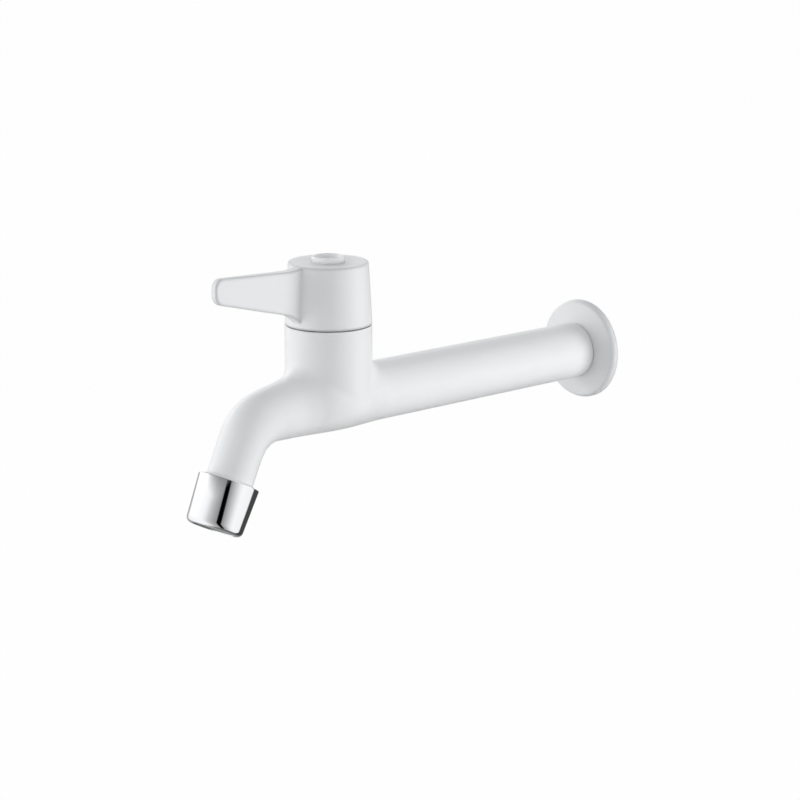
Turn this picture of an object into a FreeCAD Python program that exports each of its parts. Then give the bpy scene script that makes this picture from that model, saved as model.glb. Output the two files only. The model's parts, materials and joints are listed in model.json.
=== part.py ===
import FreeCAD, Part
import math
import os

# A wall tap with a long moulded body, a quarter-turn lever and a chromed outlet nozzle.
# Millimetres, +Z up. The origin is the centre of the cover disc's back, on the inlet axis.
# The tap stands out from the wall along -Y, and its inlet thread enters the wall along +Y.

V = FreeCAD.Vector
ORIGIN = V(0, 0, 0)
X_AXIS, Y_AXIS, Z_AXIS = V(1, 0, 0), V(0, 1, 0), V(0, 0, 1)

# Body: tube and barrel
barrel_out = 159.0          # wall to the barrel's axis
tube_wall_d = 25.0          # tube at its wall end
tube_barrel_d = 26.3        # tube at the barrel, fatter by the moulding draft
tube_start = 5.0            # wall to the tube's end shoulder
tube_end_round = 1.5
barrel_d = 38.0
barrel_top = 33.4           # barrel's rim above the tube's axis
barrel_blend = 8.0          # blend between the barrel and the tube and neck
rim_round = 0.4

# Body: neck, bend and spout
swell_back = 30.0           # the tube starts to swell this far behind the barrel's axis
swell_steps = 5
hair = 0.00001              # keeps a round section's long axis level
loft_degree = 2             # keeps a long loft from swinging past its sections
swell_front = 26.0          # the swelling ends this far past the axis
swell_past_barrel = 0.6     # widest place beyond the barrel's side
neck_root_out = 13.0        # barrel axis to the place where the neck's height is given
neck_root_rise = 15.0       # neck's top line above the tube's axis at that place
neck_slope = 11.5           # degrees that the neck's top line falls
outer_bend_r = 28.0
inner_bend_r = 10.0
spout_angle = 64.5          # degrees below level
spout_out = 58.3            # barrel axis to the centre of the nozzle's top
spout_drop = 27.0           # tube axis down to the centre of the nozzle's top
spout_end_d = 20.6
spout_bore_d = 13.6
spout_bore_out = 11.5       # barrel axis to the start of the spout's bore
collar_d = 25.2             # flared collar over the nozzle
collar_flare = 2.8
collar_root = 1.3           # the flare starts this far inside the spout's surface
collar_depth = 0.8
spigot_d = 22.0             # outlet thread, crest diameter
spigot_length = 8.5
spigot_chamfer = 0.8

# Inlet
thread_d = 20.96            # inlet thread, crest diameter
thread_length = 11.0        # thread beyond the wall plane
thread_chamfer = 1.2
thread_relief = 0.5         # the shank is plain and thinner inside the cover disc
inlet_mouth_d = 15.0
inlet_end_d = 14.0
inlet_past_seat = 0.8       # bore runs this far past the seat hole

# Seat, chamber and headwork socket in the barrel
seat_z = 9.5
seat_hole_d = 9.0
chamber_d = 18.6
socket_floor_z = 24.0
socket_d = 20.96
washer_seat_depth = 1.0
washer_seat_d = 26.4
coring_inner_d = 28.0
coring_outer_d = 32.8
coring_floor_z = 19.0
coring_rib_angle = 10.0
passage_d = 8.6             # slanted way from the chamber to the spout
passage_start = (4.5, 18.8)     # distance past the barrel's axis, height
passage_end = (21.0, -1.0)

# Cover disc on the wall
disc_d = 44.8
disc_hole_d = 21.2
disc_rim = 3.1              # height of the disc's rim
disc_rim_round = 1.4
disc_skin = 1.8
disc_hub_wall = 1.6
disc_foot = 2.0             # width of the ring that rests on the wall

# Headwork
wall_play = 0.1             # radial play of parts that stay still together
turn_play = 0.3             # radial play of parts that turn in the housing
housing_d = 16.8
housing_bore_d = 15.0
housing_foot_gap = 0.8      # seat to the housing's lower end
seal_height = 2.5
seal_bore_d = 9.8
disc_height = 3.2           # each ceramic disc
port_angle = 80.0
port_inner_r = 1.8
port_outer_r = 6.3
lug_width = 4.0
window_angle = 76.0
window_height = 3.0
tang_width = 3.9
tang_length = 11.0
tang_depth = 1.7
tang_play = 0.05
collar_height = 2.4         # spindle's collar
slip_height = 0.8
slip_d = 11.6
end_play = 0.1
stop_rib_angle = 24.0
stop_rib_r = 6.2
quarter_turn = 90.0
stop_play_angle = 1.0
screw_play = 0.08           # radial play of the headwork's thread
hex_flats = 22.0
hex_height = 5.6
housing_neck_d = 14.0
housing_neck_top = 44.0
spindle_d = 8.0
spindle_play = 0.06
ring_section = 1.45
ring_heights = (26.5, 30.5)
ring_groove_width = 1.9
clip_height = 0.8
clip_d = 11.6
clip_groove_d = 6.6
clip_opening = 55.0
spline_teeth = 20
spline_d = 7.7
spline_root_d = 6.9
spline_start = 45.6
spline_play = 0.05

# Handle
hub_gap = 0.4               # barrel's rim to the hub
hub_top = 61.0
hub_top_d = 35.0
hub_top_round = 0.8
hub_wall = 2.4
hub_roof = 3.2
hub_ribs = 4
hub_rib_width = 1.6
hub_rib_depth = 9.4
boss_wall = 1.2
boss_lift = 0.5             # spline's start to the foot of the handle's boss
spline_top = 54.4
web_gap = 0.2
web_height = 1.8
lever_length = 66.2         # barrel axis to the lever's tip
lever_top_root = 59.4
lever_top_tip = 61.9
lever_low_root = 38.2
lever_low_tip = 51.0
lever_root_width = 5.8
lever_tip_width = 3.5
lever_tip_round_top = 4.2
lever_tip_round_low = 5.0
lever_edge_round = 0.9
lever_root_round = 0.6

# Screw and cap
screw_d = 3.9
screw_hole_d = 4.0
screw_pass_d = 4.4
screw_length = 10.0
screw_head_d = 7.6
screw_head_height = 2.4
recess_width = 0.9
recess_length = 4.2
recess_depth = 1.4
cap_d = 14.4
cap_proud = 2.4
cap_dish_d = 10.8
cap_dish_depth = 1.5
cap_edge_round = 0.7
cap_floor = 1.5
cap_stem_d = 12.2
cap_stem_wall = 1.1
cap_stem_length = 3.0

# Nozzle and jet regulator, measured down the spout from the nozzle's top
nozzle_d = 27.0
nozzle_low_d = 25.2
nozzle_length = 21.5
nozzle_nose_d = 21.0
nozzle_nose_height = 3.0
nozzle_lip_d = 18.8
nozzle_lip = 2.5
nozzle_edge = 0.4
seal_ring_height = 1.6
seal_ring_bore_d = 14.4
cup_wall = 1.3
cup_ledge = 1.0
cup_snout = 1.9             # spout ring below the ledge
cup_snout_wall = 0.8
jet_disc_height = 2.0
jet_disc_step = 0.6
jet_ring_r = (3.0, 6.6)
jet_ring_count = (6, 12)    # holes in each ring
jet_hole_d = 1.5
screen_height = 0.4
screen_gap = 0.1
screen_pitch = 2.0
screen_bar = 0.6

# Sizes that follow from the ones above
hub_foot = barrel_top + hub_gap
boss_foot = spline_start + boss_lift
collar_seat_r = collar_d / 2 + 2 * wall_play
nozzle_bore_r = spigot_d / 2 + 0.5 * wall_play
cup_top = spigot_length + seal_ring_height
lip_top = nozzle_length - nozzle_lip
fixed_disc_z = seat_z + seal_height
moving_disc_z = fixed_disc_z + disc_height
spindle_collar_z = moving_disc_z + disc_height
slip_z = spindle_collar_z + collar_height
shoulder_z = slip_z + slip_height + end_play
still_disc_r = housing_bore_d / 2 - wall_play
turning_disc_r = housing_bore_d / 2 - turn_play
clip_z = housing_neck_top + end_play
pocket_floor = spline_top + web_gap + web_height
pocket_r = cap_stem_d / 2 + wall_play


def outline_face(start, *steps):
    """Face in the XZ plane; a step is a corner, or a point on an arc and the arc's end."""
    edges = []
    here = V(start[0], 0, start[1])
    for step in list(steps) + [start]:
        curved = isinstance(step[0], tuple)
        end = step[1] if curved else step
        there = V(end[0], 0, end[1])
        if curved:
            middle = V(step[0][0], 0, step[0][1])
            edges.append(Part.Arc(here, middle, there).toShape())
        else:
            edges.append(Part.LineSegment(here, there).toShape())
        here = there
    return Part.Face(Part.Wire(edges))


def turned(start, *steps, angle=360, first=0):
    """Solid turned about Z from an outline of (radius, height) points."""
    solid = outline_face(start, *steps).revolve(ORIGIN, Z_AXIS, angle)
    solid.rotate(ORIGIN, Z_AXIS, first)
    return solid


def disc(radius, low, high):
    return Part.makeCylinder(radius, high - low, V(0, 0, low))


def ring(inner, outer, low, high, angle=360, first=0):
    """Ring about Z, or the piece of one that starts at an angle from +X."""
    return turned((inner, low), (outer, low), (outer, high), (inner, high), angle=angle, first=first)


def rims(shape, *marks):
    """Round edges about Z, each picked by its radius and height."""
    found = []
    for radius, height in marks:
        for edge in shape.Edges:
            if not isinstance(edge.Curve, Part.Circle):
                continue
            same_size = abs(edge.Curve.Radius - radius) < 0.001
            same_place = abs(edge.Curve.Center.z - height) < 0.001
            if same_size and same_place:
                found.append(edge)
    return found


def half_turned(start, *steps):
    """The +X half of a turned solid."""
    return turned(start, *steps, angle=180, first=-90)


def out_from_wall(shape):
    """Lay a shape built up along Z along the tube's axis."""
    shape.rotate(ORIGIN, X_AXIS, 90)
    return shape


def on_barrel(shape):
    shape.translate(V(0, -barrel_out, 0))
    return shape


def on_spout(shape):
    """Turn a shape built along Z down the spout, from the nozzle's top."""
    shape.rotate(ORIGIN, X_AXIS, 90 + spout_angle)
    shape.translate(V(0, -barrel_out - spout_out, -spout_drop))
    return shape


def mirrored(half):
    """Whole solid from its +X half."""
    return half.fuse(half.mirror(ORIGIN, X_AXIS)).removeSplitter()


class BendLine:
    """Straight line, tangent arc and straight spout line of one side of the neck, in the YZ plane."""

    def __init__(self, start, slope, radius, end):
        turn = math.radians(spout_angle) - slope
        self.start, self.end, self.slope, self.radius = start, end, slope, radius
        along = V(0, -math.cos(slope), -math.sin(slope))
        down = spout_direction()
        gap = end - start
        reach = (gap.y * down.z - gap.z * down.y) / (along.y * down.z - along.z * down.y)
        tangent = radius * math.tan(turn / 2)
        self.bend_start = start + along * (reach - tangent)
        self.bend_end = start + along * reach + down * tangent
        self.turn = turn
        self.centre = self.bend_start + V(0, -along.z, along.y) * radius

    def straight(self, share):
        return self.start + (self.bend_start - self.start) * share

    def bend(self, share):
        angle = self.slope + self.turn * share
        return self.centre + V(0, -math.sin(angle), math.cos(angle)) * self.radius

    def spout(self, share):
        return self.bend_end + (self.end - self.bend_end) * share


def spout_direction():
    angle = math.radians(spout_angle)
    return V(0, -math.cos(angle), -math.sin(angle))


def tube_radius(out):
    """Outer radius of the tube at a distance from the wall."""
    share = (out - tube_start) / (barrel_out - tube_start)
    return (tube_wall_d + (tube_barrel_d - tube_wall_d) * share) / 2


def neck_sections():
    """Outer point, inner point and swelling of each section, from behind the barrel to the nozzle's top."""
    down = spout_direction()
    across = V(0, down.z, -down.y)
    tip = V(0, -barrel_out - spout_out, -spout_drop)
    root_y = -barrel_out - neck_root_out
    outer = BendLine(V(0, root_y, neck_root_rise), math.radians(neck_slope), outer_bend_r,
                     tip + across * (spout_end_d / 2))
    inner = BendLine(V(0, root_y, -tube_barrel_d / 2), 0, inner_bend_r, tip - across * (spout_end_d / 2))
    sections = []
    for k in range(swell_steps + 1):
        behind = swell_back * (1 - k / swell_steps)
        radius = tube_radius(barrel_out - behind)
        sections.append((V(0, behind - barrel_out, radius), V(0, behind - barrel_out, -radius)))
    sections.append(tuple((a + b) / 2 for a, b in zip(sections[-1], (outer.start, inner.start))))
    sections += [(outer.straight(k / 4), inner.straight(k / 4)) for k in range(5)]
    sections += [(outer.bend(k / 5), inner.bend(k / 5)) for k in range(1, 6)]
    sections += [(outer.spout(k / 2), inner.spout(k / 2)) for k in (1, 2)]
    return sections


def swelling(outer, inner):
    """How far the body's side stands out past a round section, most at the barrel."""
    past = -barrel_out - (outer.y + inner.y) / 2
    share = min(1, past / swell_front if past > 0 else -past / swell_back)
    return (barrel_d / 2 + swell_past_barrel - tube_barrel_d / 2) * math.cos(math.pi / 2 * share) ** 2


def half_section(outer, inner):
    """Half ellipse on the +X side between two points of the YZ plane."""
    middle = (outer + inner) / 2
    half = (outer - inner).Length / 2
    widest = middle + V(half + swelling(outer, inner) + hair, 0, 0)
    ellipse = Part.Ellipse(widest, outer, middle)
    arc = Part.ArcOfEllipse(ellipse, -math.pi / 2, math.pi / 2)
    return Part.Wire([arc.toShape(), Part.LineSegment(arc.EndPoint, arc.StartPoint).toShape()])


def tap_outside():
    """+X half of the moulded body's outer form."""
    tube_end = barrel_out - swell_back
    tube = half_turned((0, tube_start), (tube_wall_d / 2, tube_start), (tube_radius(tube_end), tube_end),
                       (0, tube_end))
    tube = tube.makeFillet(tube_end_round, rims(tube, (tube_wall_d / 2, tube_start)))
    sections = [half_section(a, b) for a, b in neck_sections()]
    neck = Part.makeLoft(sections, True, False, False, loft_degree)
    barrel_r = barrel_d / 2
    barrel = half_turned((0, 0), (barrel_r, 0), (barrel_r, barrel_top), (0, barrel_top))
    barrel = barrel.makeFillet(rim_round, rims(barrel, (barrel_r, barrel_top)))
    outside = out_from_wall(tube).fuse([neck, on_barrel(barrel)]).removeSplitter()
    return outside.makeFillet(barrel_blend, blend_edges(outside))


def blend_edges(outside):
    """Edges where the barrel meets the tube and the neck."""
    found = []
    for edge in outside.Edges:
        box = edge.BoundBox
        leaves_plane = min(box.XLength, box.YLength, box.ZLength) > 0.5
        by_barrel = abs(box.Center.y + barrel_out) < barrel_d / 2
        if leaves_plane and by_barrel and not isinstance(edge.Curve, Part.Circle):
            found.append(edge)
    return found


def tap_body():
    """White moulded body: shank, tube, barrel, neck, bend, spout and outlet spigot."""
    thread_r = thread_d / 2
    relief_r = thread_r - thread_relief
    shank = turned((0, -thread_length), (thread_r - thread_chamfer, -thread_length),
                   (thread_r, thread_chamfer - thread_length), (thread_r, 0), (relief_r, 0),
                   (relief_r, tube_start + tube_end_round), (0, tube_start + tube_end_round))
    spigot_r = spigot_d / 2
    collar_r = collar_d / 2
    flare_r = spout_end_d / 2 - collar_root
    spigot = turned((0, -collar_flare), (flare_r, -collar_flare),
                    ((flare_r + 0.3 * (collar_r - flare_r), -0.48 * collar_flare),
                     (collar_r, -0.3 * collar_depth)),
                    (collar_r, collar_depth), (spigot_r, collar_depth),
                    (spigot_r, spigot_length - spigot_chamfer),
                    (spigot_r - spigot_chamfer, spigot_length), (0, spigot_length))
    solid = mirrored(tap_outside()).fuse([out_from_wall(shank), on_spout(spigot)])
    return solid.cut(waterways() + barrel_hollows()).removeSplitter()


def waterways():
    """Round tools for the inlet bore, the seat hole, the slanted passage and the spout's bore."""
    past = barrel_out + seat_hole_d / 2 + inlet_past_seat
    mouth = inlet_mouth_d / 2
    inlet = turned((0, -thread_length - 1), (mouth, -thread_length - 1), (mouth, 0),
                   (inlet_end_d / 2, past), (0, past))
    top = V(0, -barrel_out - passage_start[0], passage_start[1])
    bottom = V(0, -barrel_out - passage_end[0], passage_end[1])
    passage = Part.makeCylinder(passage_d / 2, (bottom - top).Length, top, bottom - top)
    return [out_from_wall(inlet), on_barrel(disc(seat_hole_d / 2, 0, seat_z + 1)), passage, spout_bore()]


def spout_bore():
    """Round way down the neck, round the bend and out through the spigot's end."""
    root = V(0, -barrel_out - neck_root_out, (neck_root_rise - tube_barrel_d / 2) / 2)
    tip = V(0, -barrel_out - spout_out, -spout_drop)
    way = BendLine(root, math.radians(neck_slope) / 2, (outer_bend_r + inner_bend_r) / 2, tip)
    radius = spout_bore_d / 2
    along = (way.bend_start - root).normalize()
    start = root - along * (neck_root_out - spout_bore_out)
    length = (tip - way.bend_end).Length + spigot_length + 1
    neck = Part.makeCylinder(radius, (way.bend_start - start).Length, start, along)
    mouth = Part.Face(Part.Wire(Part.makeCircle(radius, way.bend_start, along)))
    bend = mouth.revolve(way.centre, X_AXIS, math.degrees(way.turn))
    return neck.fuse([bend, Part.makeCylinder(radius, length, way.bend_end, spout_direction())])


def barrel_hollows():
    """The headwork's chamber and socket, the washer's seat and the coring round them."""
    rim = barrel_top + 1
    hollows = [disc(chamber_d / 2, seat_z, rim), disc(socket_d / 2, socket_floor_z, rim),
               disc(washer_seat_d / 2, barrel_top - washer_seat_depth, rim)]
    for k in range(6):
        hollows.append(ring(coring_inner_d / 2, coring_outer_d / 2, coring_floor_z, rim,
                            angle=60 - coring_rib_angle, first=-90 + 60 * k + coring_rib_angle / 2))
    return [on_barrel(hollow) for hollow in hollows]


def wall_flange():
    """Loose cover disc, hollow behind, held between the tube's end and the wall."""
    rim_r = disc_d / 2
    hole_r = disc_hole_d / 2
    hub_r = hole_r + disc_hub_wall
    foot_r = rim_r - disc_foot
    round_r = rim_r - disc_rim_round
    plate = turned((hole_r, 0), (hub_r, 0), (hub_r, tube_start - disc_skin), (foot_r, disc_rim - disc_skin),
                   (foot_r, 0), (rim_r, 0), (rim_r, disc_rim - 1.6 * disc_rim_round),
                   ((rim_r - 0.25 * disc_rim_round, disc_rim - 0.6 * disc_rim_round),
                    (round_r, disc_rim + 0.15 * disc_rim_round)),
                   (tube_wall_d / 2, tube_start), (hole_r, tube_start))
    return out_from_wall(plate)


def headwork_housing():
    """Brass headwork: windowed barrel, thread, hexagon and neck, with the spindle's stop rib inside."""
    body_r = housing_d / 2
    bore_r = housing_bore_d / 2
    screw_r = socket_d / 2 - screw_play
    spindle_r = spindle_d / 2 + spindle_play
    foot = seat_z + housing_foot_gap
    step = socket_floor_z + 0.3
    neck_r = housing_neck_d / 2
    hex_top = barrel_top + hex_height
    housing = turned((bore_r, foot), (body_r, foot), (body_r, step), (screw_r, step), (screw_r, barrel_top),
                     (neck_r, barrel_top), (neck_r, housing_neck_top), (spindle_r, housing_neck_top),
                     (spindle_r, shoulder_z), (bore_r, shoulder_z))
    hexagon = hex_nut(hex_flats, barrel_top, hex_top).cut(disc(neck_r - 1, barrel_top - 1, hex_top + 1))
    rib = ring(stop_rib_r, bore_r + 0.4, spindle_collar_z + end_play, shoulder_z + 0.4,
               angle=stop_rib_angle, first=90 - stop_rib_angle / 2)
    housing = housing.fuse([hexagon, rib])
    cuts = []
    for middle in (90, 270):
        cuts.append(ring(bore_r - 1, body_r + 1, moving_disc_z + 0.2, moving_disc_z + 0.2 + window_height,
                         angle=window_angle, first=middle - window_angle / 2))
    slot_width = lug_width + 2 * wall_play
    cuts.append(Part.makeBox(housing_d + 2, slot_width, moving_disc_z - foot + 1,
                             V(-body_r - 1, -slot_width / 2, foot - 1)))
    return on_barrel(housing.cut(cuts).removeSplitter())


def hex_nut(flats, low, high):
    """Hexagon with its upper corners turned off."""
    corner = flats / math.sqrt(3)
    points = [V(corner * math.cos(math.radians(60 * k)), corner * math.sin(math.radians(60 * k)), low)
              for k in range(7)]
    solid = Part.Face(Part.makePolygon(points)).extrude(V(0, 0, high - low))
    drop = (corner - flats / 2) * math.tan(math.radians(30))
    turned_off = turned((0, low), (corner + 0.01, low), (corner + 0.01, high - drop),
                        (flats / 2, high), (0, high))
    return solid.common(turned_off)


def headwork_washer():
    low = barrel_top - washer_seat_depth
    return on_barrel(ring(socket_d / 2 + wall_play, washer_seat_d / 2 - 2 * wall_play, low, barrel_top))


def seat_seal():
    return on_barrel(ring(seal_bore_d / 2, still_disc_r, seat_z, fixed_disc_z))


def fixed_disc():
    """Ceramic disc with two ports, kept from turning by lugs in the housing's slots."""
    plate = disc(still_disc_r, fixed_disc_z, moving_disc_z)
    reach = housing_d / 2 - wall_play / 2
    lugs = Part.makeBox(2 * reach, lug_width, disc_height, V(-reach, -lug_width / 2, fixed_disc_z))
    plate = plate.fuse(lugs)
    ports = [ring(port_inner_r, port_outer_r, fixed_disc_z - 1, moving_disc_z + 1, angle=port_angle,
                  first=middle - port_angle / 2) for middle in (90, 270)]
    return on_barrel(plate.cut(ports).removeSplitter())


def moving_disc():
    """Ceramic disc with two open sides that a quarter turn brings over the ports."""
    plate = disc(turning_disc_r, moving_disc_z, spindle_collar_z)
    cuts = [ring(port_inner_r, turning_disc_r + 1, moving_disc_z - 1, spindle_collar_z + 1, angle=port_angle,
                 first=middle - port_angle / 2) for middle in (0, 180)]
    width = tang_width + 2 * tang_play
    length = tang_length + 2 * tang_play
    floor = spindle_collar_z - tang_depth - 2 * tang_play
    cuts.append(Part.makeBox(width, length, disc_height, V(-width / 2, -length / 2, floor)))
    return on_barrel(plate.cut(cuts))


def spindle():
    """Brass spindle: drive tang, stopped collar, ring grooves, clip groove, spline and screw hole."""
    shaft_r = spindle_d / 2
    groove_r = shaft_r - ring_section
    half_groove = ring_groove_width / 2
    clip_r = clip_groove_d / 2
    clip_top = clip_z + clip_height + end_play / 2
    lower, upper = ring_heights
    shaft = turned((0, spindle_collar_z), (turning_disc_r - wall_play, spindle_collar_z),
                   (turning_disc_r - wall_play, slip_z), (shaft_r, slip_z),
                   (shaft_r, lower - half_groove), (groove_r, lower - half_groove),
                   (groove_r, lower + half_groove), (shaft_r, lower + half_groove),
                   (shaft_r, upper - half_groove), (groove_r, upper - half_groove),
                   (groove_r, upper + half_groove), (shaft_r, upper + half_groove),
                   (shaft_r, clip_z - end_play / 2), (clip_r, clip_z - end_play / 2),
                   (clip_r, clip_top), (spline_d / 2, clip_top),
                   (spline_d / 2, spline_start), (0, spline_start))
    tang = Part.makeBox(tang_width, tang_length, tang_depth + 0.5,
                        V(-tang_width / 2, -tang_length / 2, spindle_collar_z - tang_depth))
    spline = splined(spline_d / 2, spline_root_d / 2, spline_start - 0.5, spline_top)
    solid = shaft.fuse([tang, spline])
    swept = quarter_turn + stop_rib_angle + 2 * stop_play_angle
    first = 90 - quarter_turn - stop_rib_angle / 2 - stop_play_angle
    stop_way = ring(stop_rib_r - turn_play, turning_disc_r + 1, spindle_collar_z - 0.01, slip_z + 1,
                    angle=swept, first=first)
    hole = disc(screw_hole_d / 2, pocket_floor - screw_length - 0.5, spline_top + 1)
    return on_barrel(solid.cut([stop_way, hole]).removeSplitter())


def splined(tip_r, root_r, low, high):
    """Bar with pointed teeth all round."""
    points = []
    for k in range(2 * spline_teeth + 1):
        radius = tip_r if k % 2 == 0 else root_r
        angle = math.pi * k / spline_teeth
        points.append(V(radius * math.cos(angle), radius * math.sin(angle), low))
    return Part.Face(Part.makePolygon(points)).extrude(V(0, 0, high - low))


def spindle_o_rings():
    """Two rubber rings, one in each groove of the spindle."""
    section_r = ring_section / 2
    middle_r = spindle_d / 2 - section_r + spindle_play / 2
    rings = [Part.makeTorus(middle_r, section_r, V(0, 0, height)) for height in ring_heights]
    return on_barrel(Part.makeCompound(rings))


def slip_washer():
    return on_barrel(ring(spindle_d / 2 + wall_play, slip_d / 2, slip_z, slip_z + slip_height))


def spindle_clip():
    """Open spring clip in the spindle's groove, over the housing's neck."""
    return on_barrel(ring(clip_groove_d / 2 + wall_play / 2, clip_d / 2, clip_z, clip_z + clip_height,
                          angle=360 - clip_opening, first=clip_opening / 2))


def hub_outside():
    """Tapered hub with the flat lever grown out of its front."""
    foot_r = barrel_d / 2
    hub = turned((0, hub_foot), (foot_r, hub_foot), (hub_top_d / 2, hub_top), (0, hub_top))
    hub = hub.makeFillet(hub_top_round, rims(hub, (hub_top_d / 2, hub_top)))
    hub = hub.makeFillet(rim_round, rims(hub, (foot_r, hub_foot)))
    solid = hub.fuse(lever()).removeSplitter()
    root = [edge for edge in solid.Edges if meets_hub(edge)]
    return solid.makeFillet(lever_root_round, root)


def meets_hub(edge):
    """True for the edges where the lever leaves the hub."""
    box = edge.BoundBox
    near = -barrel_d / 2 - 0.5 < box.YMin and box.YMax < -hub_top_d / 2 + 2
    inside = box.XLength < lever_root_width + 1 and abs(box.Center.x) < lever_root_width
    return near and inside and box.ZMin > hub_foot + 1 and box.ZMax < hub_top - 0.2


def lever():
    """Flat tapered lever with rounded corners and edges, pointing away from the wall."""
    root_y = hub_top_d / 2 - hub_wall
    corners = [(root_y, lever_low_root), (lever_length, lever_low_tip), (lever_length, lever_top_tip),
               (root_y, lever_top_root)]
    points = [V(-lever_root_width, -y, z) for y, z in corners + corners[:1]]
    side = Part.Face(Part.makePolygon(points)).extrude(V(2 * lever_root_width, 0, 0))
    tips = [edge for edge in side.Edges if edge.BoundBox.YMax < 0.001 - lever_length]
    across = [edge for edge in tips if edge.BoundBox.XLength > lever_root_width]
    top = [edge for edge in across if edge.BoundBox.ZMin > lever_top_tip - 0.001]
    low = [edge for edge in across if edge.BoundBox.ZMax < lever_low_tip + 0.001]
    side = side.makeFillet(lever_tip_round_top, top)
    low = [edge for edge in side.Edges if edge.BoundBox.XLength > lever_root_width
           and abs(edge.BoundBox.Center.y + lever_length) < 0.001
           and abs(edge.BoundBox.Center.z - lever_low_tip) < 0.001]
    side = side.makeFillet(lever_tip_round_low, low)
    half_root, half_tip = lever_root_width / 2, lever_tip_width / 2
    plan = [V(-half_root, -root_y, lever_low_root - 1), V(-half_tip, -lever_length - 1, lever_low_root - 1),
            V(half_tip, -lever_length - 1, lever_low_root - 1), V(half_root, -root_y, lever_low_root - 1)]
    taper = Part.Face(Part.makePolygon(plan + plan[:1])).extrude(V(0, 0, hub_top))
    blade = side.common(taper)
    long_edges = [edge for edge in blade.Edges if edge.BoundBox.YMax < 0.1 - root_y or
                  edge.BoundBox.YLength > 1]
    rounded = [edge for edge in long_edges if edge.BoundBox.XLength < half_root
               and edge.BoundBox.YMin < -root_y - 1]
    return blade.makeFillet(lever_edge_round, rounded)


def handle():
    """White hub and lever in one moulding, hollow below, with a splined boss and ribs."""
    low_r = barrel_d / 2 - hub_wall
    roof = hub_top - hub_roof
    high_r = hub_top_d / 2 - hub_wall + (barrel_d - hub_top_d) / 2 * hub_roof / (hub_top - hub_foot)
    hollow = turned((0, hub_foot - 1), (low_r, hub_foot - 1), (low_r, hub_foot), (high_r, roof), (0, roof))
    boss_r = pocket_r + boss_wall
    boss = disc(boss_r, boss_foot, roof + 1)
    ribs = []
    for k in range(hub_ribs):
        rib = Part.makeBox(high_r + 0.5 * hub_wall, hub_rib_width, hub_rib_depth + 1,
                           V(0, -hub_rib_width / 2, roof - hub_rib_depth))
        rib.rotate(ORIGIN, Z_AXIS, 45 + 360 / hub_ribs * k)
        ribs.append(rib)
    solid = hub_outside().cut(hollow).fuse([boss] + ribs)
    spline_way = splined(spline_d / 2 + spline_play, spline_root_d / 2 + spline_play, boss_foot - 1,
                         spline_top + web_gap)
    screw_way = disc(screw_pass_d / 2, spline_top, pocket_floor + 1)
    pocket = disc(pocket_r, pocket_floor, hub_top + 1)
    return on_barrel(solid.cut([spline_way, screw_way, pocket]).removeSplitter())


def handle_screw():
    """Pan-head screw down through the handle into the spindle."""
    head_top = pocket_floor + screw_head_height
    head = disc(screw_head_d / 2, pocket_floor, head_top)
    head = head.makeFillet(0.3 * screw_head_height, rims(head, (screw_head_d / 2, head_top)))
    shank = disc(screw_d / 2, pocket_floor - screw_length, pocket_floor + 0.5)
    shank = shank.makeChamfer(0.2 * screw_d, rims(shank, (screw_d / 2, pocket_floor - screw_length)))
    arms = [Part.makeBox(recess_length, recess_width, recess_depth + 1,
                         V(-recess_length / 2, -recess_width / 2, head_top - recess_depth)),
            Part.makeBox(recess_width, recess_length, recess_depth + 1,
                         V(-recess_width / 2, -recess_length / 2, head_top - recess_depth))]
    return on_barrel(head.fuse(shank).cut(arms))


def screw_cap():
    """Dished push-in cap over the handle's screw."""
    rim_r = cap_d / 2
    dish_r = cap_dish_d / 2
    stem_r = cap_stem_d / 2
    top = hub_top + cap_proud
    floor = top - cap_dish_depth
    stem_low = hub_top - cap_stem_length
    cap = turned((0, floor - cap_floor), (stem_r - cap_stem_wall, floor - cap_floor),
                 (stem_r - cap_stem_wall, stem_low), (stem_r, stem_low), (stem_r, hub_top), (rim_r, hub_top),
                 (rim_r, top), (dish_r + 0.4, top), (dish_r - 0.4, floor), (0, floor))
    cap = cap.makeFillet(cap_edge_round, rims(cap, (rim_r, top)))
    return on_barrel(cap)


def nozzle_shell():
    """Chromed sleeve nut with a rounded nose and an inner lip that carries the jet regulator."""
    top_r, low_r, nose_r = nozzle_d / 2, nozzle_low_d / 2, nozzle_nose_d / 2
    shoulder = nozzle_length - nozzle_nose_height
    lip_r = nozzle_lip_d / 2
    shell = turned((collar_seat_r, 0), (top_r - nozzle_edge, 0), (top_r, nozzle_edge), (low_r, shoulder),
                   ((low_r - 0.22 * (low_r - nose_r), shoulder + 0.68 * nozzle_nose_height),
                    (nose_r, nozzle_length)),
                   (lip_r + nozzle_edge, nozzle_length), (lip_r, nozzle_length - nozzle_edge),
                   (lip_r, lip_top), (nozzle_bore_r, lip_top), (nozzle_bore_r, collar_depth + wall_play),
                   (collar_seat_r, collar_depth + wall_play))
    return on_spout(shell)


def nozzle_seal():
    return on_spout(ring(seal_ring_bore_d / 2, nozzle_bore_r - wall_play, spigot_length, cup_top))


def aerator_housing():
    """Plastic cup that stands on the nozzle's lip, with a short spout ring through it."""
    outer_r = nozzle_bore_r - wall_play
    bore_r = outer_r - cup_wall
    step_r = bore_r - jet_disc_step
    snout_r = nozzle_lip_d / 2 - wall_play
    snout_bore = snout_r - cup_snout_wall
    jet_low = cup_top + jet_disc_height
    cup = turned((bore_r, cup_top), (outer_r, cup_top), (outer_r, lip_top), (snout_r, lip_top),
                 (snout_r, lip_top + cup_snout), (snout_bore, lip_top + cup_snout),
                 (snout_bore, lip_top - cup_ledge), (step_r, lip_top - cup_ledge), (step_r, jet_low),
                 (bore_r, jet_low))
    return on_spout(cup)


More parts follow.
